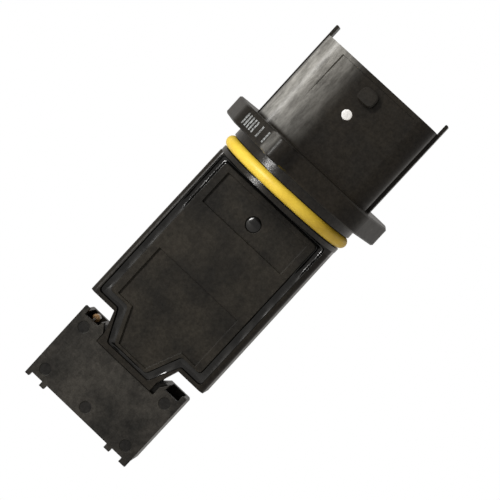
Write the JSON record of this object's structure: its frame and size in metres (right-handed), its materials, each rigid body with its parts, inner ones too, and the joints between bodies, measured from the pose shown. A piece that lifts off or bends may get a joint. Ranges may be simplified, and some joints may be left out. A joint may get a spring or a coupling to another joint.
{
  "type": "mass airflow sensor",
  "caption": "Plug-in hot-film mass airflow sensor with a rectangular connector socket, fixing flange, O-ring collar, flat electronics body and a bypass channel at its tip.",
  "frame": {"origin": "centre of the flange's seating face, on the plug-in axis of the collar", "axes": "+Z along the plug-in axis towards the connector, -Y towards the glued covers, +X to the right when the covers are faced with the connector up"},
  "size_m": [0.0395, 0.0369, 0.0933],
  "materials": {
    "housing_plastic": "moulded glass-filled black plastic, fine grain, soft sheen",
    "cover_plastic": "moulded black plastic, slightly lighter and duller than the housing",
    "sealant": "glossy black silicone sealant",
    "seal_rubber": "yellow rubber, smooth with a soft sheen",
    "plate_aluminium": "rolled aluminium sheet",
    "board_ceramic": "white alumina ceramic",
    "chip_plastic": "black moulding compound",
    "capacitor_ceramic": "tan ceramic with tinned ends",
    "resistor_ceramic": "black glazed film on ceramic with tinned ends",
    "bond_aluminium": "bright aluminium bond",
    "carrier_metal": "stamped sheet metal",
    "silicon": "polished dark silicon",
    "bead": "brown glass bead",
    "contact_metal": "tinned copper alloy"
  },
  "bodies": {
    "root": {"housing": "housing_plastic", "electronics_cover": "cover_plastic", "cover_sealant": "sealant", "vent_seal": "sealant", "channel_cover": "cover_plastic", "o_ring": "seal_rubber", "base_plate": "plate_aluminium", "hybrid_substrate": "board_ceramic", "evaluation_chip": "chip_plastic", "chip_capacitors": "capacitor_ceramic", "chip_resistors": "resistor_ceramic", "terminal_bond_wires": "bond_aluminium", "sensor_bond_wires": "bond_aluminium", "sensor_carrier": "carrier_metal", "sensor_chip": "silicon", "carrier_seal": "sealant", "thermistor": "bead", "terminal_1": "contact_metal", "terminal_2": "contact_metal", "terminal_3": "contact_metal", "terminal_4": "contact_metal", "terminal_5": "contact_metal", "thermistor_lead_1": "contact_metal", "thermistor_lead_2": "contact_metal"}
  },
  "joints": []
}
